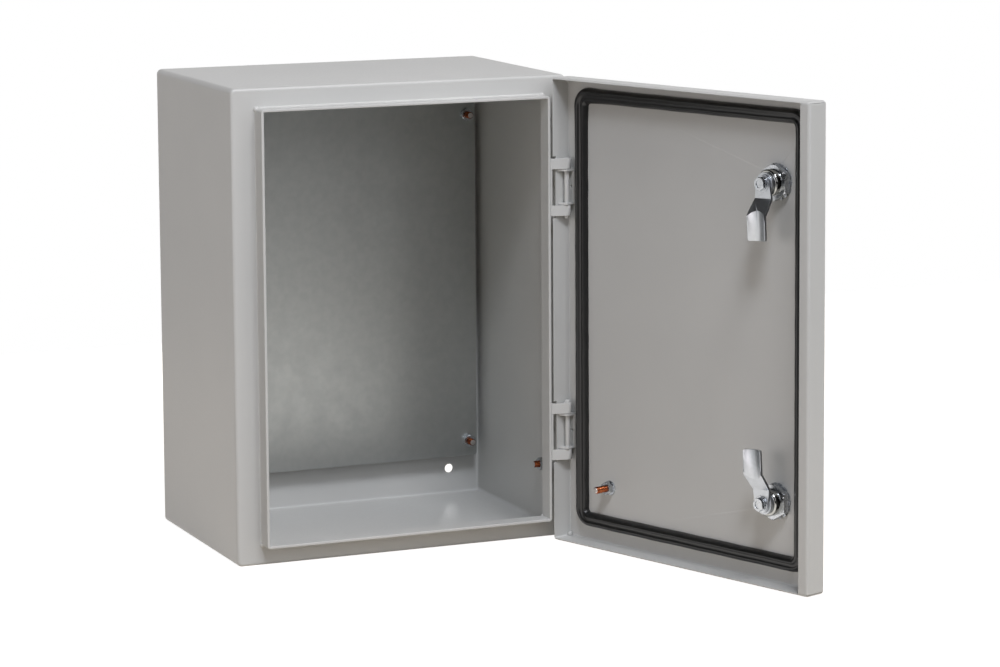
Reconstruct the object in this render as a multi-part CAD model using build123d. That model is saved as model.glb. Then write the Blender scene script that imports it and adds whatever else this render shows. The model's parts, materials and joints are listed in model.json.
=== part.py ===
from build123d import *
import math
import os

# Wall-mounting sheet-steel enclosure with a folded door on two concealed hinges.
# Millimetres. X is right, Y points out of the back into the wall, Z is up.
# The origin is the centre of the wall-fixing holes, on the outside of the back.
# The door and all it carries are drawn shut, and then swung open about the hinge axis.

# Body shell
BODY_WIDTH = 300.0
BODY_HEIGHT = 400.0
BODY_DEPTH = 200.0
SHEET = 1.5
CORNER_RADIUS = 4.5
FRONT_EDGE_RADIUS = 2.6
BACK_EDGE_RADIUS = 2.0
BACK_BEND_RADIUS = 2.0
SIDE_FLANGE = 21.0
END_FLANGE = 16.5
RIM_DEPTH = 16.0
RIM_SHEET = 2.3
RIM_LIP_RADIUS = 0.6
RIM_CORNER_RADIUS = 2.8
RIM_WELD_RADIUS = 2.7
RIM_ROOT_RADIUS = 1.0
RIM_BACK_RADIUS = 2.2

# Wall fixing
FIXING_INSET_X = 30.0
FIXING_INSET_Z = 24.0
FIXING_HOLE_RADIUS = 4.0

# Mounting plate on its four studs
PLATE_SHEET = 2.0
PLATE_STANDOFF = 11.5
PLATE_SIDE_GAP = 6.4
PLATE_END_GAP = 36.0
PLATE_CORNER_RADIUS = 3.0
PLATE_STUD_INSET_X = 8.4
PLATE_STUD_INSET_Z = 13.6
PLATE_STUD_LENGTH = 24.8
PLATE_HOLE_CLEARANCE = 0.35

# M6 studs, nuts and washers
STUD_RADIUS = 3.0
STUD_CHAMFER = 0.6
THREAD_FIT = 0.02
NUT_FLATS = 10.0
NUT_HEIGHT = 5.0
NUT_CHAMFER = 0.7
WASHER_RADIUS = 6.2
WASHER_THICKNESS = 1.2
SPACER_RADIUS = 5.5
SPACER_CLEARANCE = 0.2

# Earth studs
BODY_EARTH_FROM_FRONT = 44.5
BODY_EARTH_FROM_BOTTOM = 54.5
BODY_EARTH_LENGTH = 10.5
DOOR_EARTH_FROM_HINGE_EDGE = 51.5
DOOR_EARTH_FROM_BOTTOM = 50.2
DOOR_EARTH_LENGTH = 17.5

# Door pan
DOOR_SIDE_REVEAL = 1.0
DOOR_END_REVEAL = 0.5
DOOR_SHEET = 1.5
DOOR_DEPTH = 20.5
DOOR_EDGE_RADIUS = 2.6
DOOR_CORNER_RADIUS = 3.0
DOOR_LIP = 10.0
DOOR_SEAM = 0.4
DOOR_WELD_RADIUS = 2.4
DOOR_WELD_INSET = 1.4
DOOR_OPEN_ANGLE = 109.4

# Door gasket, a foamed bead that the rim bites into
GASKET_WIDTH = 12.2
GASKET_HEIGHT = 5.7
GASKET_GAP = 0.3
GASKET_CORNER_RADIUS = 9.5
GASKET_LIFT = 2.3

# Hinges
HINGE_FROM_END = 94.5
HINGE_PIN_RADIUS = 2.0
HINGE_PIN_TAIL = 2.5
HINGE_PIN_CHAMFER = 0.5
HINGE_FIT = 0.08
HINGE_EYE_WALL = 1.5
HINGE_EYE_GAP = 0.3
HINGE_FROM_DOOR_FACE = 7.7
HINGE_ARM_HEIGHT = 9.1
HINGE_ARM_SPAN = 49.2
HINGE_ARM_STEEL = 1.5
HINGE_BASE_DEPTH = 12.0
HINGE_SLIT = 0.5
EYE_SLIT_ANGLE = 28.0
EAR_GAP = 0.4
EAR_STEEL = 1.5
EAR_PLATE_WIDTH = 7.4
EAR_REACH = 13.0
EAR_NOSE = 9.3
EAR_CORNER_CUT = 1.7
EAR_WELD_HOLE_RADIUS = 1.3
NOTCH_DEPTH = 3.9
NOTCH_END_CLEARANCE = 2.0

# Quarter-turn cam locks
LOCK_FROM_END = 69.5
LOCK_INSIDE_RIM = 30.7
LOCK_HEAD_RADIUS = 14.0
LOCK_HEAD_HEIGHT = 4.5
LOCK_HEAD_RECESS_RADIUS = 10.0
LOCK_HEAD_RECESS_DEPTH = 1.5
LOCK_SHANK_RADIUS = 11.0
LOCK_SHANK_LENGTH = 15.6
LOCK_SHANK_CHAMFER = 1.0
LOCK_HOLE_CLEARANCE = 0.15
LOCK_SEAL_THICKNESS = 0.8
LOCK_SEAL_RADIUS = 13.4
LOCK_NUT_FLATS = 27.0
LOCK_NUT_HEIGHT = 5.5
LOCK_NUT_CHAMFER = 1.4
LOCK_WASHER_RADIUS = 14.6
LOCK_WASHER_ROOT = 13.6
LOCK_WASHER_STEEL = 1.0
LOCK_WASHER_HEIGHT = 1.6
LOCK_WASHER_TEETH = 14
LOCK_WASHER_TOOTH = 3.8
LOCK_WASHER_TWIST = 9.0
CORE_RADIUS = 7.0
CORE_COLLAR_RADIUS = 8.6
CORE_COLLAR_HEIGHT = 2.0
CORE_FIT = 0.06
CORE_SQUARE = 8.0
CORE_SQUARE_FIT = 0.05
CORE_SQUARE_SHORT = 0.3
CORE_POCKET_RADIUS = 4.6
CORE_POCKET_DEPTH = 6.0
KEY_POST_RADIUS = 2.4
KEY_BIT_WIDTH = 3.0
KEY_BIT_SPAN = 8.0

# Cam levers
LEVER_GAP = 0.2
LEVER_STEEL = 2.0
LEVER_BOSS_RADIUS = 7.5
LEVER_BEND_WIDTH = 18.0
LEVER_TIP_WIDTH = 19.6
LEVER_WALL_GAP = 4.7
LEVER_FIRST_BEND = 12.5
LEVER_SECOND_BEND = 22.0
LEVER_TIP_SAG = 2.6
LEVER_TIP_CORNER = 2.0
LEVER_LATCH_GAP = 0.3
UPPER_LEVER_LEAN = 2.8
LOWER_LEVER_LEAN = 3.5
STOP_DISC_RADIUS = 8.9
STOP_DISC_THICKNESS = 2.9
CAM_WASHER_RADIUS = 6.8
CAM_WASHER_THICKNESS = 0.9
SPRING_WASHER_RADIUS = 5.6
SPRING_WASHER_THICKNESS = 0.9
SPRING_WASHER_SLIT = 0.8
SCREW_HEAD_HEIGHT = 2.6
SCREW_HEAD_DISH = 0.6
SCREW_LENGTH = 12.0
SCREW_TIP_GAP = 1.0

# Places worked out from the sizes above
FRONT = -BODY_DEPTH
RIM_FRONT = FRONT - RIM_DEPTH
RIM_X = BODY_WIDTH / 2 - SIDE_FLANGE
RIM_Z = BODY_HEIGHT / 2 - END_FLANGE
INNER_X = BODY_WIDTH / 2 - SHEET
INNER_Z = BODY_HEIGHT / 2 - SHEET
INNER_BACK = -SHEET
FIXING_X = BODY_WIDTH / 2 - FIXING_INSET_X
FIXING_Z = BODY_HEIGHT / 2 - FIXING_INSET_Z
BODY_EARTH_Z = BODY_EARTH_FROM_BOTTOM - BODY_HEIGHT / 2
PLATE_BACK = INNER_BACK - PLATE_STANDOFF
PLATE_FRONT = PLATE_BACK - PLATE_SHEET
PLATE_X = INNER_X - PLATE_SIDE_GAP
PLATE_Z = INNER_Z - PLATE_END_GAP
DOOR_X = BODY_WIDTH / 2 - DOOR_SIDE_REVEAL
DOOR_Z = BODY_HEIGHT / 2 - DOOR_END_REVEAL
DOOR_INNER = RIM_FRONT - GASKET_GAP - GASKET_HEIGHT
DOOR_FACE = DOOR_INNER - DOOR_SHEET
DOOR_BACK = DOOR_FACE + DOOR_DEPTH
DOOR_EARTH_Z = DOOR_EARTH_FROM_BOTTOM - DOOR_Z
EYE_RADIUS = HINGE_PIN_RADIUS + HINGE_EYE_WALL
PIVOT_X = DOOR_X - DOOR_SHEET - HINGE_EYE_GAP - EYE_RADIUS
PIVOT_Y = DOOR_FACE + HINGE_FROM_DOOR_FACE
HINGE_AXIS = Axis((PIVOT_X, PIVOT_Y, 0), (0, 0, 1))
HINGE_Z = BODY_HEIGHT / 2 - HINGE_FROM_END
LOCK_X = LOCK_INSIDE_RIM - RIM_X
LOCK_Z = BODY_HEIGHT / 2 - LOCK_FROM_END
LEVER_REACH = INNER_X + LOCK_X - LEVER_WALL_GAP
HEAD_BACK = DOOR_FACE - LOCK_SEAL_THICKNESS
HEAD_FRONT = HEAD_BACK - LOCK_HEAD_HEIGHT
SHANK_END = DOOR_FACE + LOCK_SHANK_LENGTH
STOP_DISC_FACE = SHANK_END + LEVER_GAP
LEVER_FLAT = STOP_DISC_FACE + STOP_DISC_THICKNESS
LATCH_FACE = FRONT + SHEET + LEVER_LATCH_GAP


def block(x0, x1, y0, y1, z0, z1):
    """A box between two corners."""
    return Pos((x0 + x1) / 2, (y0 + y1) / 2, (z0 + z1) / 2) * Box(
        abs(x1 - x0), abs(y1 - y0), abs(z1 - z0))


def rod(radius, start, length, direction=(0, 1, 0)):
    """A round bar from a start point along a direction."""
    plane = Plane(origin=start, z_dir=direction)
    return extrude(plane * Circle(radius), length)


def chamfered_rod(radius, start, length, direction, cut):
    """A round bar with a chamfer at its far end."""
    bar = rod(radius, start, length, direction)
    tip = Vector(*start) + Vector(*direction) * length
    edges = bar.edges().filter_by(GeomType.CIRCLE).sort_by_distance(tip)
    return chamfer(edges[0], cut)


def ring(outer, inner, start, length, direction=(0, 1, 0)):
    """A flat ring or tube."""
    plane = Plane(origin=start, z_dir=direction)
    return extrude(plane * (Circle(outer) - Circle(inner)), length)


def hexagon_nut(flats, height, bore, cut, start, direction, both_ends=False):
    """A hexagon nut or screw head with a corner pointing up and its corners turned down."""
    plane = Plane(origin=start, x_dir=(0, 0, 1), z_dir=direction)
    corner = flats / math.sqrt(3)
    body = extrude(plane * RegularPolygon(corner, 6), height)
    fall = cut * 0.6
    seat = [(0, 0), (corner - cut, 0), (corner, fall)] if both_ends else [(0, 0), (corner, 0)]
    crown = [(corner, height - fall), (corner - cut, height), (0, height)]
    turned = revolve(Plane.XZ * make_face(Polyline(*seat, *crown, close=True)), Axis.Z)
    body = body & (plane.location * turned)
    if bore > 0:
        body = body - rod(bore, start, height, direction)
    return body


def swung_open(shape):
    """Turns what the door carries from shut to open."""
    return shape.rotate(HINGE_AXIS, DOOR_OPEN_ANGLE)


def enclosure_body():
    half_x = BODY_WIDTH / 2
    half_z = BODY_HEIGHT / 2
    shell = block(-half_x, half_x, FRONT, 0, -half_z, half_z)
    shell = fillet(shell.edges().filter_by(Axis.Y), CORNER_RADIUS)
    front_edges = shell.faces().sort_by(Axis.Y)[0].edges()
    shell = fillet(front_edges, FRONT_EDGE_RADIUS)
    back_edges = shell.faces().sort_by(Axis.Y)[-1].edges()
    shell = fillet(back_edges, BACK_EDGE_RADIUS)

    rim = block(-RIM_X, RIM_X, RIM_FRONT, FRONT + SHEET, -RIM_Z, RIM_Z)
    rim = fillet(rim.edges().filter_by(Axis.Y), RIM_CORNER_RADIUS)
    shell = shell + rim
    root = shell.edges().filter_by_position(Axis.Y, FRONT - 0.01, FRONT + 0.01)
    root = [e for e in root if abs(e.center().X) <= RIM_X + 0.01 and abs(e.center().Z) <= RIM_Z + 0.01]
    shell = fillet(root, RIM_ROOT_RADIUS)

    room = block(-INNER_X, INNER_X, FRONT + SHEET, INNER_BACK, -INNER_Z, INNER_Z)
    room = fillet(room.edges().filter_by(Axis.Y), CORNER_RADIUS - SHEET)
    room = fillet(room.faces().sort_by(Axis.Y)[-1].edges(), BACK_BEND_RADIUS)
    mouth_x = RIM_X - RIM_SHEET
    mouth_z = RIM_Z - RIM_SHEET
    mouth = block(-mouth_x, mouth_x, RIM_FRONT - 1, FRONT + SHEET + 1, -mouth_z, mouth_z)
    mouth = fillet(mouth.edges().filter_by(Axis.Y), RIM_CORNER_RADIUS - RIM_SHEET)
    shell = shell - (room + mouth)
    lead_in = shell.edges().filter_by_position(Axis.Y, FRONT + SHEET - 0.01, FRONT + SHEET + 0.01)
    lead_in = [e for e in lead_in if abs(e.center().X) <= mouth_x + 0.01 and abs(e.center().Z) <= mouth_z + 0.01]
    shell = fillet(lead_in, RIM_BACK_RADIUS)
    shell = fillet(shell.faces().sort_by(Axis.Y)[0].edges(), RIM_LIP_RADIUS)
    for x in (RIM_SHEET / 2 - RIM_X, RIM_X - RIM_SHEET / 2):
        for z in (RIM_SHEET / 2 - RIM_Z, RIM_Z - RIM_SHEET / 2):
            shell = shell + Pos(x, FRONT, z) * Sphere(RIM_WELD_RADIUS)

    for x in (-FIXING_X, FIXING_X):
        for z in (-FIXING_Z, FIXING_Z):
            shell = shell - rod(FIXING_HOLE_RADIUS, (x, INNER_BACK - 1, z), SHEET + 2)
    return shell


def plate_corners():
    """Stud places on the mounting plate, in reading order."""
    stud_x = PLATE_X - PLATE_STUD_INSET_X
    stud_z = PLATE_Z - PLATE_STUD_INSET_Z
    return [(-stud_x, stud_z), (stud_x, stud_z), (-stud_x, -stud_z), (stud_x, -stud_z)]


def mounting_plate():
    plate = block(-PLATE_X, PLATE_X, PLATE_FRONT, PLATE_BACK, -PLATE_Z, PLATE_Z)
    plate = fillet(plate.edges().filter_by(Axis.Y), PLATE_CORNER_RADIUS)
    for x, z in plate_corners():
        plate = plate - rod(STUD_RADIUS + PLATE_HOLE_CLEARANCE, (x, PLATE_FRONT - 1, z), PLATE_SHEET + 2)
    return plate


def plate_stud(x, z):
    return chamfered_rod(STUD_RADIUS, (x, INNER_BACK, z), PLATE_STUD_LENGTH, (0, -1, 0), STUD_CHAMFER)


def plate_spacer(x, z):
    return ring(SPACER_RADIUS, STUD_RADIUS + SPACER_CLEARANCE, (x, INNER_BACK, z), PLATE_STANDOFF, (0, -1, 0))


def plate_nut(x, z):
    return hexagon_nut(NUT_FLATS, NUT_HEIGHT, STUD_RADIUS + THREAD_FIT, NUT_CHAMFER,
                       (x, PLATE_FRONT, z), (0, -1, 0))


def earth_set(start, direction, length):
    """A welded stud with a plain washer and a nut."""
    way = Vector(*direction)
    nut_start = Vector(*start) + way * WASHER_THICKNESS
    stud = chamfered_rod(STUD_RADIUS, start, length, direction, STUD_CHAMFER)
    washer = ring(WASHER_RADIUS, STUD_RADIUS + THREAD_FIT, start, WASHER_THICKNESS, direction)
    nut = hexagon_nut(NUT_FLATS, NUT_HEIGHT, STUD_RADIUS + THREAD_FIT, NUT_CHAMFER,
                      tuple(nut_start), direction)
    return stud, washer, nut


def door_panel():
    pan = block(-DOOR_X, DOOR_X, DOOR_FACE, DOOR_BACK, -DOOR_Z, DOOR_Z)
    pan = fillet(pan.edges().filter_by(Axis.Y), DOOR_CORNER_RADIUS)
    pan = fillet(pan.faces().sort_by(Axis.Y)[0].edges(), DOOR_EDGE_RADIUS)
    free_edge = pan.edges().filter_by(Axis.Z).filter_by_position(Axis.Y, DOOR_BACK - 0.01, DOOR_BACK + 0.01)
    pan = fillet(free_edge.sort_by(Axis.X)[0], DOOR_EDGE_RADIUS)
    inside_x = DOOR_X - DOOR_SHEET
    inside_z = DOOR_Z - DOOR_SHEET
    inner_radius = DOOR_CORNER_RADIUS - DOOR_SHEET
    hollow = block(-inside_x, inside_x, DOOR_INNER, DOOR_BACK - DOOR_SHEET, -inside_z, inside_z)
    hollow = fillet(hollow.edges().filter_by(Axis.Y).sort_by(Axis.X)[-2:], inner_radius)
    hollow = fillet(hollow.edges().filter_by_position(Axis.Y, DOOR_INNER - 0.01, DOOR_INNER + 0.01),
                    DOOR_EDGE_RADIUS - DOOR_SHEET)
    mouth = block(-DOOR_X + DOOR_LIP, inside_x, DOOR_BACK - DOOR_SHEET - 1, DOOR_BACK + 1, -inside_z, inside_z)
    mouth = fillet(mouth.edges().filter_by(Axis.Y).sort_by(Axis.X)[-2:], inner_radius)
    pan = pan - hollow - mouth
    for z in (inside_z - DOOR_WELD_INSET, DOOR_WELD_INSET - inside_z):
        pan = pan + Pos(inside_x - DOOR_WELD_INSET, DOOR_INNER + DOOR_WELD_INSET, z) * Sphere(DOOR_WELD_RADIUS)
    notch_half = HINGE_ARM_SPAN / 2 + NOTCH_END_CLEARANCE
    for z in (HINGE_Z, -HINGE_Z):
        pan = pan - block(inside_x - 1, DOOR_X + 1, DOOR_BACK - NOTCH_DEPTH, DOOR_BACK + 1,
                          z - notch_half, z + notch_half)
    for z in (LOCK_Z, -LOCK_Z):
        pan = pan - rod(LOCK_SHANK_RADIUS + LOCK_HOLE_CLEARANCE, (LOCK_X, DOOR_FACE - 1, z), DOOR_SHEET + 2)
    seam_z = inside_z - DOOR_SEAM / 2
    for z in (seam_z, -seam_z):
        pan = pan - block(-DOOR_X - 1, -inside_x, DOOR_FACE + DOOR_EDGE_RADIUS, DOOR_BACK + 1,
                          z - DOOR_SEAM / 2, z + DOOR_SEAM / 2)
    return pan


def door_gasket():
    """A bead of half-round section along a rounded loop that follows the rim."""
    half_x = RIM_X - RIM_SHEET / 2
    half_z = RIM_Z - RIM_SHEET / 2
    loop_plane = Plane(origin=(0, DOOR_INNER, GASKET_LIFT), x_dir=(1, 0, 0), z_dir=(0, -1, 0))
    loop = loop_plane * RectangleRounded(2 * half_x, 2 * half_z, GASKET_CORNER_RADIUS)
    path = loop.face().outer_wire()
    section_plane = Plane(origin=(0, DOOR_INNER, GASKET_LIFT + half_z), x_dir=(0, 0, 1), z_dir=(1, 0, 0))
    crown = EllipticalCenterArc((0, 0), GASKET_WIDTH / 2, GASKET_HEIGHT, start_angle=180, arc_size=180)
    base = Line((GASKET_WIDTH / 2, 0), (-GASKET_WIDTH / 2, 0))
    section = section_plane * make_face([crown, base])
    return sweep(section, path=path, transition=Transition.ROUND)


def body_hinge_bracket(height):
    """A base welded to the rim, with two arms rolled into eyes round the pin."""
    root_x = RIM_X
    front_y = RIM_FRONT
    bore = HINGE_PIN_RADIUS + HINGE_FIT
    reach_x = PIVOT_X - root_x
    reach_y = PIVOT_Y - front_y
    distance = math.hypot(reach_x, reach_y)
    tangent = math.atan2(reach_y, reach_x) - math.asin(EYE_RADIUS / distance)
    normal = Vector(math.sin(tangent), -math.cos(tangent))
    centre = Vector(PIVOT_X, PIVOT_Y)
    start = Vector(root_x, front_y)
    outer_end = centre + normal * EYE_RADIUS
    inner_end = centre + normal * bore
    inner_start = start - normal * (EYE_RADIUS - bore)
    strip = make_face(Polyline((start.X, start.Y), (outer_end.X, outer_end.Y),
                               (inner_end.X, inner_end.Y), (inner_start.X, inner_start.Y), close=True))
    eye = Pos(PIVOT_X, PIVOT_Y) * (Circle(EYE_RADIUS) - Circle(bore))
    slit_length = EYE_RADIUS + 1
    slit_angle = math.degrees(tangent) + 180 - EYE_SLIT_ANGLE
    slit = Rectangle(slit_length, HINGE_SLIT)
    slit = Pos(PIVOT_X, PIVOT_Y) * Rot(0, 0, slit_angle) * Pos(slit_length / 2, 0) * slit
    foot = Pos(root_x + HINGE_ARM_STEEL / 2, front_y + HINGE_BASE_DEPTH / 2) * Rectangle(
        HINGE_ARM_STEEL, HINGE_BASE_DEPTH)
    arm = strip + (eye - slit) + foot
    low = height - HINGE_ARM_SPAN / 2
    bracket = Pos(0, 0, low) * extrude(foot, HINGE_ARM_SPAN)
    for z in (low, low + HINGE_ARM_SPAN - HINGE_ARM_HEIGHT):
        bracket = bracket + Pos(0, 0, z) * extrude(arm, HINGE_ARM_HEIGHT)
    return bracket


def door_hinge_bracket(height):
    """A U of sheet welded to the inside of the door, its two ears holding the pin."""
    edge_x = DOOR_X - DOOR_SHEET
    half = HINGE_ARM_SPAN / 2 - HINGE_ARM_HEIGHT - EAR_GAP
    plate_x = edge_x - EAR_CORNER_CUT
    ear = make_face(Polyline(
        (edge_x, DOOR_INNER + EAR_CORNER_CUT), (edge_x, DOOR_INNER + EAR_REACH),
        (edge_x - EAR_PLATE_WIDTH - 0.4, DOOR_INNER + EAR_NOSE), (edge_x - EAR_PLATE_WIDTH, DOOR_INNER),
        (plate_x, DOOR_INNER), close=True))
    base = block(edge_x - EAR_PLATE_WIDTH, plate_x, DOOR_INNER, DOOR_INNER + EAR_STEEL, height - half, height + half)
    bracket = base
    for z in (height - half, height + half - EAR_STEEL):
        bracket = bracket + Pos(0, 0, z) * extrude(ear, EAR_STEEL)
    bracket = bracket - rod(HINGE_PIN_RADIUS + THREAD_FIT, (PIVOT_X, PIVOT_Y, height - half - 1),
                            2 * half + 2, (0, 0, 1))
    weld_x = (edge_x - EAR_PLATE_WIDTH + plate_x) / 2
    return bracket - rod(EAR_WELD_HOLE_RADIUS, (weld_x, DOOR_INNER - 1, height), EAR_STEEL + 2)


def hinge_pin(height, tail):
    """A plain pin that ends flush on one side and shows its tail on the other."""
    half = HINGE_ARM_SPAN / 2
    length = HINGE_ARM_SPAN + HINGE_PIN_TAIL
    start_z = height - tail * half
    return chamfered_rod(HINGE_PIN_RADIUS, (PIVOT_X, PIVOT_Y, start_z), length, (0, 0, tail), HINGE_PIN_CHAMFER)


def lock_housing(height):
    head = rod(LOCK_HEAD_RADIUS, (LOCK_X, HEAD_FRONT, height), LOCK_HEAD_HEIGHT)
    rim_edge = head.edges().filter_by(GeomType.CIRCLE).sort_by(Axis.Y)[0]
    head = fillet(rim_edge, LOCK_HEAD_HEIGHT * 0.4)
    shank = chamfered_rod(LOCK_SHANK_RADIUS, (LOCK_X, HEAD_BACK, height), SHANK_END - HEAD_BACK, (0, 1, 0),
                          LOCK_SHANK_CHAMFER)
    housing = head + shank
    housing = housing - rod(LOCK_HEAD_RECESS_RADIUS, (LOCK_X, HEAD_FRONT, height), LOCK_HEAD_RECESS_DEPTH)
    collar_seat = HEAD_FRONT + LOCK_HEAD_RECESS_DEPTH + CORE_COLLAR_HEIGHT
    housing = housing - rod(CORE_COLLAR_RADIUS + CORE_FIT, (LOCK_X, HEAD_FRONT, height), collar_seat - HEAD_FRONT)
    return housing - rod(CORE_RADIUS + CORE_FIT, (LOCK_X, HEAD_FRONT, height), SHANK_END - HEAD_FRONT + 1)


def lock_seal(height):
    return ring(LOCK_SEAL_RADIUS, LOCK_SHANK_RADIUS + LOCK_HOLE_CLEARANCE, (LOCK_X, HEAD_BACK, height),
                LOCK_SEAL_THICKNESS)


def lock_washer(height):
    """A toothed washer, its teeth twisted so that they bite both the door and the nut."""
    middle = DOOR_INNER + LOCK_WASHER_HEIGHT / 2
    washer = ring(LOCK_WASHER_ROOT, LOCK_SHANK_RADIUS + LOCK_HOLE_CLEARANCE,
                  (LOCK_X, middle - LOCK_WASHER_STEEL / 2, height), LOCK_WASHER_STEEL)
    root = LOCK_WASHER_ROOT - 1
    reach = LOCK_WASHER_RADIUS - root
    tooth = Box(reach, LOCK_WASHER_STEEL, LOCK_WASHER_TOOTH)
    for number in range(LOCK_WASHER_TEETH):
        around = Pos(LOCK_X, middle, height) * Rot(0, 360 * number / LOCK_WASHER_TEETH, 0)
        washer = washer + around * Pos(root + reach / 2, 0, 0) * Rot(LOCK_WASHER_TWIST, 0, 0) * tooth
    return washer


def lock_nut(height):
    start = (LOCK_X, DOOR_INNER + LOCK_WASHER_HEIGHT, height)
    return hexagon_nut(LOCK_NUT_FLATS, LOCK_NUT_HEIGHT, LOCK_SHANK_RADIUS + THREAD_FIT, LOCK_NUT_CHAMFER,
                       start, (0, 1, 0), both_ends=True)


def lock_core(height):
    """A turning plug held by its collar, with a double-bit key post in front and a square behind."""
    front = HEAD_FRONT + LOCK_HEAD_RECESS_DEPTH
    core = rod(CORE_RADIUS, (LOCK_X, front, height), STOP_DISC_FACE - front)
    core = core + rod(CORE_COLLAR_RADIUS, (LOCK_X, front, height), CORE_COLLAR_HEIGHT)
    pocket = rod(CORE_POCKET_RADIUS, (LOCK_X, front, height), CORE_POCKET_DEPTH)
    post = rod(KEY_POST_RADIUS, (LOCK_X, front, height), CORE_POCKET_DEPTH)
    bits = block(LOCK_X - KEY_BIT_SPAN / 2, LOCK_X + KEY_BIT_SPAN / 2, front, front + CORE_POCKET_DEPTH,
                 height - KEY_BIT_WIDTH / 2, height + KEY_BIT_WIDTH / 2)
    core = core - (pocket - (post + bits))
    half = CORE_SQUARE / 2
    square_end = LEVER_FLAT + LEVER_STEEL - CORE_SQUARE_SHORT
    core = core + block(LOCK_X - half, LOCK_X + half, STOP_DISC_FACE, square_end, height - half, height + half)
    thread_start = LEVER_FLAT + LEVER_STEEL - SCREW_LENGTH
    return core - rod(STUD_RADIUS + THREAD_FIT, (LOCK_X, thread_start, height), SCREW_LENGTH)


def cam_lever():
    """The lever, drawn pointing down from a lock axis at the origin, y measured from its flat."""
    rise = LATCH_FACE - LEVER_FLAT
    run = LEVER_SECOND_BEND - LEVER_FIRST_BEND
    slope = math.atan2(rise, run)
    shift = LEVER_STEEL * math.tan(slope / 2)
    past = 8.0
    far_z = -LEVER_SECOND_BEND - past
    far_y = rise + past * math.tan(slope)
    upright = LEVER_STEEL / math.cos(slope)
    top_z = 2 * LEVER_BOSS_RADIUS
    side = Polyline((0, top_z), (LEVER_STEEL, top_z), (LEVER_STEEL, -LEVER_FIRST_BEND + shift),
                    (far_y + upright, far_z), (far_y, far_z), (0, -LEVER_FIRST_BEND), close=True)
    side_plane = Plane(origin=(-LEVER_TIP_WIDTH, 0, 0), x_dir=(0, 1, 0), z_dir=(1, 0, 0))
    cranked = extrude(side_plane * make_face(side), 2 * LEVER_TIP_WIDTH)

    half = LEVER_TIP_WIDTH / 2
    belly = (half ** 2 + LEVER_TIP_SAG ** 2) / (2 * LEVER_TIP_SAG)
    length = LEVER_REACH - LEVER_FIRST_BEND
    trough_plane = Plane(origin=(0, rise + belly, -LEVER_REACH), x_dir=(1, 0, 0), z_dir=(0, 0, 1))
    outer = extrude(trough_plane * Circle(belly), length)
    inner = extrude(trough_plane * Circle(belly - LEVER_STEEL), length)
    cranked = cranked - inner
    beyond = Polyline((0, -LEVER_FIRST_BEND), (far_y, far_z), (far_y, -2 * LEVER_REACH),
                      (-LEVER_REACH, -2 * LEVER_REACH), (-LEVER_REACH, -LEVER_FIRST_BEND), close=True)
    beyond = extrude(side_plane * make_face(beyond), 2 * LEVER_TIP_WIDTH)
    front_of_flange = block(-half, half, rise, rise + LEVER_TIP_SAG + LEVER_STEEL, -LEVER_REACH, -LEVER_FIRST_BEND)
    tip = (outer - inner) & front_of_flange & beyond
    lever = cranked + tip

    bend = LEVER_BEND_WIDTH / 2
    outline = Polyline((-LEVER_BOSS_RADIUS, 0), (-bend, -LEVER_FIRST_BEND), (-half, -LEVER_SECOND_BEND),
                       (-half, -LEVER_REACH), (half, -LEVER_REACH), (half, -LEVER_SECOND_BEND),
                       (bend, -LEVER_FIRST_BEND), (LEVER_BOSS_RADIUS, 0), close=True)
    plan = make_face(outline)
    plan = fillet(plan.vertices().sort_by(Axis.Y)[:2], LEVER_TIP_CORNER) + Circle(LEVER_BOSS_RADIUS)
    plan_plane = Plane(origin=(0, -1, 0), x_dir=(1, 0, 0), z_dir=(0, -1, 0))
    blank = extrude(plan_plane * plan, -(rise + LEVER_TIP_SAG + LEVER_STEEL + 2))
    lever = lever & blank
    return lever - square_hole(0, LEVER_STEEL)


def square_hole(start_y, length):
    """The hole that the core's square fits, about an axis at the origin."""
    side = CORE_SQUARE + 2 * CORE_SQUARE_FIT
    return block(-side / 2, side / 2, start_y - 1, start_y + length + 1, -side / 2, side / 2)


def stop_disc(height):
    """The round stop between the lock shank and the lever, on the core's square."""
    disc = rod(STOP_DISC_RADIUS, (0, 0, 0), STOP_DISC_THICKNESS) - square_hole(0, STOP_DISC_THICKNESS)
    return Pos(LOCK_X, STOP_DISC_FACE, height) * disc


def cam_set(height, pointing, lean):
    """Core, stop disc, lever, washers and screw of one lock, turned to where the lever points."""
    start = (LOCK_X, LEVER_FLAT + LEVER_STEEL, height)
    washer = ring(CAM_WASHER_RADIUS, STUD_RADIUS + THREAD_FIT, start, CAM_WASHER_THICKNESS)
    spring_start = (LOCK_X, start[1] + CAM_WASHER_THICKNESS, height)
    spring = ring(SPRING_WASHER_RADIUS, STUD_RADIUS + THREAD_FIT, spring_start, SPRING_WASHER_THICKNESS)
    spring = spring - block(LOCK_X, LOCK_X + SPRING_WASHER_RADIUS + 1, spring_start[1],
                            spring_start[1] + SPRING_WASHER_THICKNESS,
                            height, height + SPRING_WASHER_SLIT)
    head_start = (LOCK_X, spring_start[1] + SPRING_WASHER_THICKNESS, height)
    head = hexagon_nut(NUT_FLATS, SCREW_HEAD_HEIGHT, 0, NUT_CHAMFER, head_start, (0, 1, 0))
    head_end = head_start[1] + SCREW_HEAD_HEIGHT
    head = head - rod(NUT_FLATS * 0.32, (LOCK_X, head_end - SCREW_HEAD_DISH, height), SCREW_HEAD_DISH)
    shank_start = start[1] - SCREW_LENGTH + SCREW_TIP_GAP
    screw = head + rod(STUD_RADIUS, (LOCK_X, shank_start, height), head_start[1] - shank_start)
    lever = Pos(LOCK_X, LEVER_FLAT, height) * cam_lever()
    pieces = {"core": lock_core(height), "stop_disc": stop_disc(height), "lever": lever,
              "washer": washer, "spring_washer": spring, "screw": screw}
    axis = Axis((LOCK_X, DOOR_FACE, height), (0, 1, 0))
    turn = lean if pointing == "down" else 180 + lean
    return {name: shape.rotate(axis, turn) for name, shape in pieces.items()}


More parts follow.
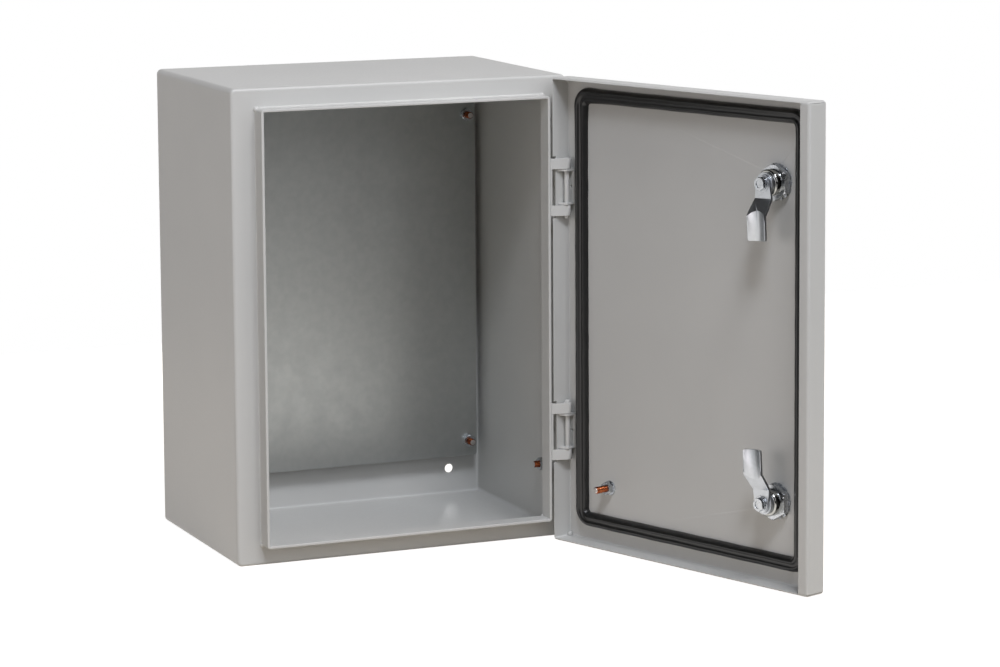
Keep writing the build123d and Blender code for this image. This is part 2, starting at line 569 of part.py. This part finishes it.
def all_parts():
    parts = {}
    parts["enclosure_body"] = enclosure_body()
    parts["mounting_plate"] = mounting_plate()
    for number, (x, z) in enumerate(plate_corners(), start=1):
        parts[f"plate_stud_{number}"] = plate_stud(x, z)
        parts[f"plate_spacer_{number}"] = plate_spacer(x, z)
        parts[f"plate_nut_{number}"] = plate_nut(x, z)

    body_earth = (INNER_X, FRONT + BODY_EARTH_FROM_FRONT, BODY_EARTH_Z)
    names = ("stud", "washer", "nut")
    for name, shape in zip(names, earth_set(body_earth, (-1, 0, 0), BODY_EARTH_LENGTH)):
        parts[f"body_earth_{name}"] = shape

    door = {"door_panel": door_panel(), "door_gasket": door_gasket()}
    door_earth = (DOOR_X - DOOR_EARTH_FROM_HINGE_EDGE, DOOR_INNER, DOOR_EARTH_Z)
    for name, shape in zip(names, earth_set(door_earth, (0, 1, 0), DOOR_EARTH_LENGTH)):
        door[f"door_earth_{name}"] = shape

    places = (("upper", HINGE_Z, LOCK_Z, -1, "down", UPPER_LEVER_LEAN),
              ("lower", -HINGE_Z, -LOCK_Z, 1, "up", LOWER_LEVER_LEAN))
    for side, hinge_z, lock_z, tail, pointing, lean in places:
        parts[f"body_hinge_bracket_{side}"] = body_hinge_bracket(hinge_z)
        door[f"door_hinge_bracket_{side}"] = door_hinge_bracket(hinge_z)
        door[f"hinge_pin_{side}"] = hinge_pin(hinge_z, tail)
        door[f"{side}_lock_housing"] = lock_housing(lock_z)
        door[f"{side}_lock_seal"] = lock_seal(lock_z)
        door[f"{side}_lock_washer"] = lock_washer(lock_z)
        door[f"{side}_lock_nut"] = lock_nut(lock_z)
        for name, shape in cam_set(lock_z, pointing, lean).items():
            door[f"{side}_cam_{name}"] = shape
    for name, shape in door.items():
        parts[name] = swung_open(shape)
    return parts


os.makedirs("parts", exist_ok=True)
for node, solid in all_parts().items():
    export_step(solid, f"parts/{node}.step")
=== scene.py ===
import bpy
import bmesh
import json
import math
from mathutils import Matrix, Vector


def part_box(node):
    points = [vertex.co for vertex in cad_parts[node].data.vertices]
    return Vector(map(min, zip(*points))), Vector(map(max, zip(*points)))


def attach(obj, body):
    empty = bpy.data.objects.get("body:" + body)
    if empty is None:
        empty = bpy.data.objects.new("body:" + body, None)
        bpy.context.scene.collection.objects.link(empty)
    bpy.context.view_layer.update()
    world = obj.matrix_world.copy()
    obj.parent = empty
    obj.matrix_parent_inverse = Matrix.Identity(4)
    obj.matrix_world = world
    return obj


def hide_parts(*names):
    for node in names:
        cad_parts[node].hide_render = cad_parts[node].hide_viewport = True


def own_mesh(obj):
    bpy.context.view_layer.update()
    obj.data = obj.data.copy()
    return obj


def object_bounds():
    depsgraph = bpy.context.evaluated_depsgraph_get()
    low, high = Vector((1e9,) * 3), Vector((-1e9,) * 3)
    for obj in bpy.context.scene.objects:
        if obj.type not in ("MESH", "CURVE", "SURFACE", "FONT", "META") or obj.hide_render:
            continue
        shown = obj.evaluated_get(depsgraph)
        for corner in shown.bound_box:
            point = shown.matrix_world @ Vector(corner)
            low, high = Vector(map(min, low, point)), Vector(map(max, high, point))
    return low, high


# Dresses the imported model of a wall-mounting sheet-steel enclosure with its door open.
# Metres throughout. X is right, Y points out of the back, Z is up.

MM = 0.001

# Camera, found from the straight edges of the box and the door
IMAGE_WIDTH = 1000
FOCAL_PIXELS = 3614.7
SENSOR_WIDTH_MM = 36.0
SHIFT_X = -0.07838
SHIFT_Y = -0.12761
CAMERA_PLACE = (-1.08988, -3.00509, 0.48755)
CAMERA_YAW = 0.4196487
CAMERA_PITCH = -0.1299559
CAMERA_ROLL = -0.0035265
CLIP_START = 0.05
CLIP_END = 50.0

# Door, rim and gasket sizes, as built
DOOR_OPEN_ANGLE = math.radians(109.4)
SIDE_FLANGE = 21.0 * MM
END_FLANGE = 16.5 * MM
RIM_SHEET = 2.3 * MM
GASKET_WIDTH = 12.2 * MM
GASKET_HEIGHT = 5.7 * MM
GASKET_GAP = 0.3 * MM
GASKET_CORNER_RADIUS = 9.5 * MM
GASKET_LIFT = 2.3 * MM

# The foam stands higher on either side of the groove that the rim has pressed into it
GASKET_CREST = 7.4 * MM
GASKET_FULLNESS = 0.8
GROOVE_HALF_WIDTH = 1.9 * MM
GROOVE_STEEPNESS = 4
GASKET_SHIFT = 1.9 * MM

# The foam is thicker at the corner where its two ends meet
GASKET_JOINT_SWELL = 1.0 * MM
GASKET_JOINT_LENGTH = 17.0 * MM

# The bead wanders to either side of its line, in a long and a short wave.
# The numbers by Z and X are radians for each metre along them.
LONG_WANDER = 0.10 * MM
LONG_WANDER_Z = 190
LONG_WANDER_X = 130
SHORT_WANDER = 0.06 * MM
SHORT_WANDER_Z = 611

# Steps along and across the bead
GASKET_STEP = 7 * MM
GASKET_PROFILE_STEPS = 26
GASKET_CORNER_STEPS = 10

# Studs and their threads. A crest factor above 1 leaves a narrow flat on each crest.
STUD_RADIUS = 3.0 * MM
STUD_PITCH = 1.0 * MM
STUD_CHAMFER = 0.6 * MM
STUD_SIDES = 28
THREAD_DEPTH = 0.55 * MM
THREAD_CREST = 1.25
THREAD_ROWS_PER_PITCH = 5
THREAD_START_STEP = 0.01 * MM
CUT_END_RISE = 0.05 * MM
PLATE_STUDS = 4
PLATE_THREAD_FROM = 12 * MM
EARTH_THREAD_FROM = 2 * MM
DOOR_EARTH_LENGTH = 17.5 * MM

# Edges of sheet and hardware, rounded as a tumbled or painted edge is
EDGE_ROUND = 0.25 * MM
LEVER_ROUND = 0.45 * MM
EDGE_ANGLE = math.radians(35)
EDGE_SEGMENTS = 2
SEAM_GAP = 0.002 * MM

# Lamps: name, place, size, watts, colour
LAMPS = (
    ("key", (-0.5, -2.1, 2.35), 0.6, 32.2, (0.96, 1.0, 1.09)),
    ("over", (0.65, -0.9, 2.0), 0.6, 6.5, (1.1, 1.0, 0.95)),
    ("over_front", (0.2, -1.6, 2.2), 0.5, 17.2, (1.0, 1.0, 1.03)),
    ("front", (0.2, -3.2, 1.6), 1.6, 15.0, (1.0, 1.0, 1.06)),
    ("right", (2.0, -2.5, 1.2), 1.4, 13.8, (0.98, 1.0, 1.0)),
    ("low_left", (-2.6, -1.0, 0.3), 1.2, 12.0, (1.06, 1.0, 1.0)),
    ("back", (0.3, 1.4, 2.2), 1.2, 2.5, (1.10, 1.0, 0.86)),
    ("behind", (0.3, 0.8, 0.0), 0.35, 1.6, (1.0, 1.0, 1.0)),
)
LAMP_TARGET = (0.0, -0.1, 0.0)

# Floor: near the object it is pale and lifted to white, and it dims towards the studio
FLOOR_COLOUR = (0.56, 0.50, 0.42)
FLOOR_FAR_COLOUR = (0.36, 0.36, 0.35)
FLOOR_LIFT_NEAR = 0.94
FLOOR_LIFT_FAR = 0.02
FLOOR_NEAR_Y = -0.78
FLOOR_FAR_Y = -1.15
FLOOR_HALF = 6.0
FLOOR_BACK_Y = 0.9
FLOOR_ROUGH = 0.9

# Sky: a height here is the upward share of a direction, from -1 to 1.
# The backdrop is white up to its top and has faded out at the second height.
SKY_TOP = (0.012, 0.012, 0.012)
SKY_LOW = (0.0, 0.0, 0.0)
SKY_TOP_HEIGHT = 1.0
SKY_LOW_HEIGHT = -0.2
BACKDROP_COLOUR = (1.0, 1.0, 1.0)
BACKDROP_TOP = 0.22
BACKDROP_FADE = 0.45

# Noise runs from low to high between these two levels, and is flat beyond them
NOISE_LOW = 0.3
NOISE_HIGH = 0.7

# Powder coat: patches of shade, orange peel, and a fine grain on the peel
COAT_DARK = (0.578, 0.580, 0.564)
COAT_LIGHT = (0.610, 0.611, 0.592)
COAT_ROUGH = (0.32, 0.40)
COAT_PATCHES = 7.0
COAT_PEEL = 750.0
COAT_PEEL_HEIGHT = 0.05 * MM
COAT_GRAIN = 2600.0
COAT_GRAIN_HEIGHT = 0.008 * MM
COAT_ROUGH_PATCHES = 420.0

# Galvanized sheet: spangle, and the shallow waves of rolled sheet
SPANGLE_DARK = (0.424, 0.440, 0.434)
SPANGLE_LIGHT = (0.455, 0.469, 0.461)
SPANGLE_ROUGH = (0.33, 0.38)
SPANGLE = 160.0
SPANGLE_METAL = 0.95
SPANGLE_ROUGH_PATCHES = 60.0
SHEET_WAVES = 9.0
SHEET_WAVE_HEIGHT = 0.06 * MM

# Plated metals: name, dark and light colour, and the ends of their roughness
PLATED = (
    ("zinc_plate", (0.43, 0.45, 0.47), (0.52, 0.54, 0.57), (0.20, 0.30)),
    ("soft_zinc", (0.45, 0.47, 0.49), (0.50, 0.52, 0.55), (0.32, 0.38)),
    ("lock_zinc", (0.36, 0.36, 0.34), (0.42, 0.42, 0.41), (0.08, 0.14)),
    ("copper_stud", (0.19, 0.042, 0.018), (0.32, 0.095, 0.035), (0.22, 0.32)),
    ("bare_steel", (0.55, 0.52, 0.50), (0.68, 0.64, 0.61), (0.30, 0.42)),
)
PLATED_PATCHES = 260.0
PLATED_ROUGH_PATCHES = 900.0
PLATED_GRAIN = 1500.0
PLATED_GRAIN_HEIGHT = 0.01 * MM

# Foam and rubber: name, shade, roughness
RUBBERS = (
    ("gasket_foam", 0.0045, 0.34),
    ("seal_rubber", 0.02, 0.6),
)
RUBBER_DARK = 0.85
RUBBER_LIGHT = 1.2
RUBBER_PATCHES = 300.0
RUBBER_GRAIN = 1800.0
RUBBER_GRAIN_HEIGHT = 0.03 * MM

# Pressed and tumbled pieces are duller, and some slots keep the edges that they were built with
DULL_PIECES = ("cam_lever", "lock_washer", "stop_disc")
SLOTS_LEFT_SHARP = ("gasket_foam", "seal_rubber", "copper_stud", "galvanized_sheet")

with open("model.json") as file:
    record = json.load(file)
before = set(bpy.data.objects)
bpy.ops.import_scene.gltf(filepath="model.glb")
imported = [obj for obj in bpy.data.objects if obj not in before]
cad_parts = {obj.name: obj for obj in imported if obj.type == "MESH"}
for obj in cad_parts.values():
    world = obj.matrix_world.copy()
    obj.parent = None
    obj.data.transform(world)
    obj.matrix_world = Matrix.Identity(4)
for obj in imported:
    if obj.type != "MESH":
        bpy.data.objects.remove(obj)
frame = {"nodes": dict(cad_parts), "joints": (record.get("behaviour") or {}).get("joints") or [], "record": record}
nodes = frame["nodes"]
cad_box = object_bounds()
joints = {joint["name"]: joint for joint in frame["joints"]}
HINGE_PIVOT = Vector(joints["door_swing"]["pos_m"])
INWARD = Vector(joints["upper_cam_turn"]["axis"]).normalized()
DOOR_TURN = (Matrix.Translation(HINGE_PIVOT) @ Matrix.Rotation(DOOR_OPEN_ANGLE, 4, "Z")
             @ Matrix.Translation(-HINGE_PIVOT))


# Node trees

class Tree:
    """A short way to build a node tree."""

    def __init__(self, tree):
        self.tree = tree

    def add(self, kind, **values):
        node = self.tree.nodes.new(kind)
        for name, value in values.items():
            setattr(node, name, value)
        return node

    def link(self, source, target):
        self.tree.links.new(source, target)

    def place(self, kind):
        return self.add("ShaderNodeTexCoord").outputs[kind]

    def split(self, vector):
        node = self.add("ShaderNodeSeparateXYZ")
        self.link(vector, node.inputs[0])
        return node.outputs

    def spread(self, source, low, high, start, end):
        """Maps a value from the range start to end into the range low to high."""
        node = self.add("ShaderNodeMapRange")
        node.inputs["From Min"].default_value = start
        node.inputs["From Max"].default_value = end
        node.inputs["To Min"].default_value = low
        node.inputs["To Max"].default_value = high
        self.link(source, node.inputs["Value"])
        return node.outputs["Result"]

    def tint(self, source, first, second):
        """Blends two colours by a value. The first may also be the output of a node."""
        node = self.add("ShaderNodeMix", data_type="RGBA")
        if isinstance(first, bpy.types.NodeSocket):
            self.link(first, node.inputs["A"])
        else:
            node.inputs["A"].default_value = (*first, 1.0)
        node.inputs["B"].default_value = (*second, 1.0)
        self.link(source, node.inputs["Factor"])
        return node.outputs["Result"]

    def maths(self, operation, first, second):
        """Works out one value from a node's output and a second output or number."""
        node = self.add("ShaderNodeMath", operation=operation)
        self.link(first, node.inputs[0])
        if isinstance(second, bpy.types.NodeSocket):
            self.link(second, node.inputs[1])
        else:
            node.inputs[1].default_value = second
        return node.outputs[0]

    def seen_ray(self):
        """1 for what the camera sees, straight, in a gloss or through glass."""
        path = self.add("ShaderNodeLightPath").outputs
        seen = self.maths("MAXIMUM", path["Is Camera Ray"], path["Is Glossy Ray"])
        return self.maths("MAXIMUM", seen, path["Is Transmission Ray"])


class Finish(Tree):
    """A material whose patterns follow the piece's own coordinates."""

    def __init__(self, name):
        self.material = bpy.data.materials.new(name)
        self.material.use_nodes = True
        super().__init__(self.material.node_tree)
        self.shader = self.tree.nodes["Principled BSDF"]
        self.spot = self.place("Object")

    def noise(self, scale, detail):
        node = self.add("ShaderNodeTexNoise")
        node.inputs["Scale"].default_value = scale
        node.inputs["Detail"].default_value = detail
        self.link(self.spot, node.inputs["Vector"])
        return node.outputs["Fac"]

    def patches(self, scale, ends=(0.0, 1.0), detail=2.0):
        """Soft patches that run between two values."""
        return self.spread(self.noise(scale, detail), *ends, NOISE_LOW, NOISE_HIGH)

    def bump(self, scale, height, detail=2.0, below=None):
        """A surface normal from noise, on top of another one where it is given."""
        node = self.add("ShaderNodeBump")
        node.inputs["Distance"].default_value = height
        self.link(self.noise(scale, detail), node.inputs["Height"])
        if below is not None:
            self.link(below, node.inputs["Normal"])
        return node.outputs["Normal"]

    def set(self, **values):
        for name, value in values.items():
            socket = self.shader.inputs[name.replace("_", " ")]
            if isinstance(value, bpy.types.NodeSocket):
                self.link(value, socket)
            else:
                socket.default_value = value


# Materials

def powder_coat():
    made = Finish("powder_coat")
    colour = made.tint(made.patches(COAT_PATCHES, detail=3.0), COAT_DARK, COAT_LIGHT)
    peel = made.bump(COAT_PEEL, COAT_PEEL_HEIGHT)
    peel = made.bump(COAT_GRAIN, COAT_GRAIN_HEIGHT, detail=1.0, below=peel)
    rough = made.patches(COAT_ROUGH_PATCHES, COAT_ROUGH)
    made.set(Base_Color=colour, Roughness=rough, Normal=peel)
    return made.material


def galvanized_sheet():
    made = Finish("galvanized")
    colour = made.tint(made.patches(SPANGLE, detail=1.0), SPANGLE_DARK, SPANGLE_LIGHT)
    rough = made.patches(SPANGLE_ROUGH_PATCHES, SPANGLE_ROUGH)
    wave = made.bump(SHEET_WAVES, SHEET_WAVE_HEIGHT, detail=1.0)
    made.set(Base_Color=colour, Metallic=SPANGLE_METAL, Roughness=rough, Normal=wave)
    return made.material


def plated(name, dark, light, roughness):
    made = Finish(name)
    colour = made.tint(made.patches(PLATED_PATCHES, detail=3.0), dark, light)
    rough = made.patches(PLATED_ROUGH_PATCHES, roughness)
    grain = made.bump(PLATED_GRAIN, PLATED_GRAIN_HEIGHT)
    made.set(Base_Color=colour, Metallic=1.0, Roughness=rough, Normal=grain)
    return made.material


def rubber(name, shade, rough):
    made = Finish(name)
    dark = (shade * RUBBER_DARK,) * 3
    light = (shade * RUBBER_LIGHT,) * 3
    colour = made.tint(made.patches(RUBBER_PATCHES, detail=3.0), dark, light)
    grain = made.bump(RUBBER_GRAIN, RUBBER_GRAIN_HEIGHT)
    made.set(Base_Color=colour, Roughness=rough, Normal=grain)
    return made.material


MATERIALS = {"powder_coat": powder_coat(), "galvanized_sheet": galvanized_sheet()}
for name, *look in PLATED:
    MATERIALS[name] = plated(name, *look)
for name, *look in RUBBERS:
    MATERIALS[name] = rubber(name, *look)


# Finishes of the pieces that come from the frame

def round_edges(piece, width):
    """Welds the mesh's seams and rounds its hard edges so that they catch the light."""
    weld = piece.modifiers.new("weld", "WELD")
    weld.merge_threshold = SEAM_GAP
    bevel = piece.modifiers.new("round_edges", "BEVEL")
    bevel.limit_method = "ANGLE"
    bevel.angle_limit = EDGE_ANGLE
    bevel.width = width
    bevel.segments = EDGE_SEGMENTS
    bevel.harden_normals = True


def dress_nodes():
    for part in frame["record"]["subparts"]:
        name = part["node"]
        slot = part["material_slot"]
        finish = MATERIALS["soft_zinc" if name.endswith(DULL_PIECES) else slot]
        for entry in nodes[name].material_slots:
            entry.material = finish
        if slot not in SLOTS_LEFT_SHARP:
            round_edges(nodes[name], LEVER_ROUND if name.endswith("cam_lever") else EDGE_ROUND)


# Pieces made here

def link_object(name, data):
    made = bpy.data.objects.new(name, data)
    bpy.context.scene.collection.objects.link(made)
    return made


def new_piece(name, mesh, body, finish, replaced):
    piece = link_object(name, mesh)
    mesh.materials.append(MATERIALS[finish])
    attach(piece, body)
    if replaced:
        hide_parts(replaced)
    return piece


def grid_mesh(name, rows, ring=False):
    """A smooth tube through rows of points, joined end to end as a ring or else capped."""
    mesh = bpy.data.meshes.new(name)
    build = bmesh.new()
    grid = [[build.verts.new(point) for point in row] for row in rows]
    row_count = len(grid)
    column_count = len(grid[0])
    for i in range(row_count if ring else row_count - 1):
        below = grid[i]
        above = grid[(i + 1) % row_count]
        for j in range(column_count):
            k = (j + 1) % column_count
            build.faces.new((below[j], below[k], above[k], above[j]))
    if not ring:
        build.faces.new(grid[0])
        build.faces.new(list(reversed(grid[-1])))
    bmesh.ops.recalc_face_normals(build, faces=build.faces)
    for face in build.faces:
        face.smooth = len(face.verts) == 4
    build.to_mesh(mesh)
    build.free()
    return mesh


def rounded_loop(half_x, half_z, radius, step):
    """Points and outward directions along a rounded rectangle, evenly enough for a sweep."""
    points = []
    corners = ((1, 1, 0), (-1, 1, 90), (-1, -1, 180), (1, -1, 270))
    along = Vector((-1, 0, 0)), Vector((0, 0, -1)), Vector((1, 0, 0)), Vector((0, 0, 1))
    for index, (sx, sz, start) in enumerate(corners):
        centre = Vector((sx * (half_x - radius), 0, sz * (half_z - radius)))
        for n in range(GASKET_CORNER_STEPS + 1):
            angle = math.radians(start + 90 * n / GASKET_CORNER_STEPS)
            way = Vector((math.cos(angle), 0, math.sin(angle)))
            points.append((centre + way * radius, way))
        run = 2 * (half_x - radius) if index % 2 == 0 else 2 * (half_z - radius)
        count = max(2, round(run / step))
        first, way = points[-1]
        for n in range(1, count):
            points.append((first + along[index] * (run * n / count), way))
    return points


def gasket_row(place, way, joint, floor_y):
    """One cross-section of the bead: domed, grooved, and thicker near the joint."""
    shift = Vector((GASKET_SHIFT, 0, 0))
    wander = LONG_WANDER * math.sin(place.z * LONG_WANDER_Z + place.x * LONG_WANDER_X)
    wander += SHORT_WANDER * math.sin(place.z * SHORT_WANDER_Z)
    swell = math.exp(-((joint - place).length / GASKET_JOINT_LENGTH) ** 2)
    half_width = GASKET_WIDTH / 2 + GASKET_JOINT_SWELL * swell
    row = []
    for n in range(GASKET_PROFILE_STEPS + 1):
        angle = math.pi * n / GASKET_PROFILE_STEPS
        across = math.cos(angle) * half_width
        from_rim = across + shift.dot(way)
        groove = math.exp(-(from_rim / GROOVE_HALF_WIDTH) ** GROOVE_STEEPNESS)
        dome = GASKET_CREST * abs(math.sin(angle)) ** GASKET_FULLNESS
        rise = dome - (GASKET_CREST - GASKET_HEIGHT) * groove
        lift = Vector((0, floor_y + rise, GASKET_LIFT))
        row.append(place + shift + way * (across + wander) + lift)
    return row


def door_gasket():
    """The foamed bead on the door, drawn with the door shut and then swung open with it."""
    body_low, body_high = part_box("enclosure_body")
    half_x = body_high[0] - SIDE_FLANGE - RIM_SHEET / 2
    half_z = body_high[2] - END_FLANGE - RIM_SHEET / 2
    floor_y = body_low[1] - GASKET_GAP - GASKET_HEIGHT
    joint = Vector((half_x, 0, half_z))
    loop = rounded_loop(half_x, half_z, GASKET_CORNER_RADIUS, GASKET_STEP)
    rows = [gasket_row(place, way, joint, floor_y) for place, way in loop]
    mesh = grid_mesh("door_gasket_bead", rows, ring=True)
    mesh.transform(DOOR_TURN)
    bead = new_piece("door_gasket_bead", mesh, "door", "gasket_foam", "door_gasket")
    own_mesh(bead)


def thread_radius(station, turn, length, thread_from):
    """The stud's radius at a distance along it and a share of a turn about it."""
    phase = (station / STUD_PITCH - turn) % 1.0
    ridge = 1 - abs(2 * phase - 1)
    depth = THREAD_DEPTH * (1 - min(1.0, ridge * THREAD_CREST))
    radius = STUD_RADIUS - (depth if station >= thread_from else 0.0)
    return min(radius, STUD_RADIUS - STUD_CHAMFER + (length - station))


def threaded_stud(node, body, base, direction, length, thread_from):
    """A stud whose free length carries a real helical thread, with a bare cut end."""
    axis = direction.normalized()
    side = axis.cross(Vector((0, 0, 1))).normalized()
    up = axis.cross(side).normalized()

    def circle(station, radius_at):
        row = []
        for n in range(STUD_SIDES):
            angle = 2 * math.pi * (n / STUD_SIDES)
            out = side * math.cos(angle) + up * math.sin(angle)
            row.append(base + axis * station + out * radius_at(n / STUD_SIDES))
        return row

    run = length - thread_from
    row_count = round(run / STUD_PITCH * THREAD_ROWS_PER_PITCH)
    stations = [0.0, thread_from - THREAD_START_STEP]
    stations += [thread_from + run * n / row_count for n in range(row_count + 1)]
    rows = []
    for station in stations:
        rows.append(circle(station, lambda turn: thread_radius(station, turn, length, thread_from)))
    mesh = grid_mesh(node + "_threaded", rows)
    new_piece(node + "_threaded", mesh, body, "copper_stud", node)
    end_rows = [circle(length, lambda turn: STUD_RADIUS - STUD_CHAMFER),
                circle(length + CUT_END_RISE, lambda turn: STUD_RADIUS - 2 * STUD_CHAMFER)]
    end = grid_mesh(node + "_cut_end", end_rows)
    new_piece(node + "_cut_end", end, body, "bare_steel", None)


def box_of(node):
    """A node's lowest and highest corners, and its centre."""
    low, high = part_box(node)
    return low, high, (Vector(low) + Vector(high)) / 2


def studs():
    front = Vector((0, -1, 0))
    left = Vector((-1, 0, 0))
    for number in range(1, PLATE_STUDS + 1):
        node = f"plate_stud_{number}"
        low, high, centre = box_of(node)
        base = Vector((centre.x, high[1], centre.z))
        threaded_stud(node, "enclosure", base, front, high[1] - low[1], PLATE_THREAD_FROM)
    node = "body_earth_stud"
    low, high, centre = box_of(node)
    base = Vector((high[0], centre.y, centre.z))
    threaded_stud(node, "enclosure", base, left, high[0] - low[0], EARTH_THREAD_FROM)
    node = "door_earth_stud"
    centre = box_of(node)[2]
    base = centre - INWARD * DOOR_EARTH_LENGTH / 2
    threaded_stud(node, "door", base, INWARD, DOOR_EARTH_LENGTH, EARTH_THREAD_FROM)


# Stage

def area_light(name, place, size, watts, colour):
    lamp = bpy.data.lights.new(name, "AREA")
    lamp.shape = "SQUARE"
    lamp.size = size
    lamp.energy = watts
    lamp.color = colour
    holder = link_object(name, lamp)
    holder.location = place
    aim = Vector(LAMP_TARGET) - Vector(place)
    holder.rotation_euler = aim.to_track_quat("-Z", "Y").to_euler()


def floor_material():
    """White where the camera sees it, and darker towards the studio that metal reflects."""
    made = Finish("floor")
    made.set(Roughness=FLOOR_ROUGH, Specular_IOR_Level=0.0)
    along = made.split(made.spot)["Y"]
    near = made.spread(along, 0.0, 1.0, FLOOR_FAR_Y, FLOOR_NEAR_Y)
    made.set(Base_Color=made.tint(near, FLOOR_FAR_COLOUR, FLOOR_COLOUR))
    lift = made.spread(along, FLOOR_LIFT_FAR, FLOOR_LIFT_NEAR, FLOOR_FAR_Y, FLOOR_NEAR_Y)
    glow = made.add("ShaderNodeEmission")
    made.link(made.maths("MULTIPLY", made.seen_ray(), lift), glow.inputs["Strength"])
    both = made.add("ShaderNodeAddShader")
    made.link(made.shader.outputs[0], both.inputs[0])
    made.link(glow.outputs[0], both.inputs[1])
    made.link(both.outputs[0], made.tree.nodes["Material Output"].inputs["Surface"])
    return made.material


def floor():
    low_z = cad_box[0][2]
    mesh = bpy.data.meshes.new("floor")
    corners = [(-FLOOR_HALF, -FLOOR_HALF, low_z), (FLOOR_HALF, -FLOOR_HALF, low_z),
               (FLOOR_HALF, FLOOR_BACK_Y, low_z), (-FLOOR_HALF, FLOOR_BACK_Y, low_z)]
    mesh.from_pydata(corners, [], [(0, 1, 2, 3)])
    ground = link_object("floor", mesh)
    mesh.materials.append(floor_material())


def sky():
    """A white backdrop behind the object, and soft grey light from above elsewhere."""
    world = bpy.context.scene.world or bpy.data.worlds.new("studio")
    bpy.context.scene.world = world
    world.use_nodes = True
    world.node_tree.nodes.clear()
    made = Tree(world.node_tree)
    spot = made.split(made.place("Generated"))
    height = made.spread(spot["Z"], 0.0, 1.0, SKY_LOW_HEIGHT, SKY_TOP_HEIGHT)
    shade = made.tint(height, SKY_LOW, SKY_TOP)
    behind = made.maths("GREATER_THAN", spot["Y"], 0.0)
    below_top = made.spread(spot["Z"], 0.0, 1.0, BACKDROP_FADE, BACKDROP_TOP)
    backdrop = made.maths("MULTIPLY", behind, below_top)
    white = made.maths("MULTIPLY", backdrop, made.seen_ray())
    light = made.add("ShaderNodeBackground")
    out = made.add("ShaderNodeOutputWorld")
    made.link(made.tint(white, shade, BACKDROP_COLOUR), light.inputs["Color"])
    made.link(light.outputs[0], out.inputs["Surface"])


def camera():
    sight = Vector((math.sin(CAMERA_YAW) * math.cos(CAMERA_PITCH),
                    math.cos(CAMERA_YAW) * math.cos(CAMERA_PITCH), math.sin(CAMERA_PITCH)))
    level = Vector((math.cos(CAMERA_YAW), -math.sin(CAMERA_YAW), 0))
    upright = level.cross(sight)
    right = level * math.cos(CAMERA_ROLL) + upright * math.sin(CAMERA_ROLL)
    up = upright * math.cos(CAMERA_ROLL) - level * math.sin(CAMERA_ROLL)
    lens = bpy.data.cameras.new("camera")
    lens.sensor_width = SENSOR_WIDTH_MM
    lens.lens = FOCAL_PIXELS / IMAGE_WIDTH * SENSOR_WIDTH_MM
    lens.shift_x = SHIFT_X
    lens.shift_y = SHIFT_Y
    lens.clip_start = CLIP_START
    lens.clip_end = CLIP_END
    eye = link_object("camera", lens)
    turn = Matrix((right, up, -sight)).transposed()
    eye.matrix_world = Matrix.Translation(CAMERA_PLACE) @ turn.to_4x4()
    bpy.context.scene.camera = eye


dress_nodes()
door_gasket()
studs()
floor()
sky()
for lamp in LAMPS:
    area_light(*lamp)
camera()
bpy.context.scene.view_settings.view_transform = "Standard"
